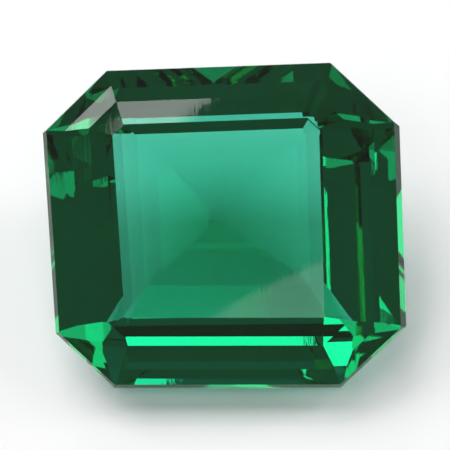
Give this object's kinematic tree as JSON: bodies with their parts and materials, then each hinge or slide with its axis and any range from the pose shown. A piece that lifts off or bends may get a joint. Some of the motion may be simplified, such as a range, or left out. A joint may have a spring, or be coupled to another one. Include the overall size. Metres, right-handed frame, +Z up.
{
  "type": "cut emerald",
  "caption": "Loose faceted emerald: a nearly square step cut with cut corners, a large table and a shallow, see-through pavilion, lying on one pavilion facet",
  "frame": {"origin": "on the ground under the middle of the stone's bounding box, as it lies on one facet", "axes": "+Z up, +X to the right side of the outline, +Y to the raised side, away from the facet that it lies on; the table leans towards -Y"},
  "size_m": [0.0094, 0.008, 0.0049],
  "materials": {
    "emerald": "polished"
  },
  "bodies": {
    "root": {"emerald": "emerald"}
  },
  "joints": []
}
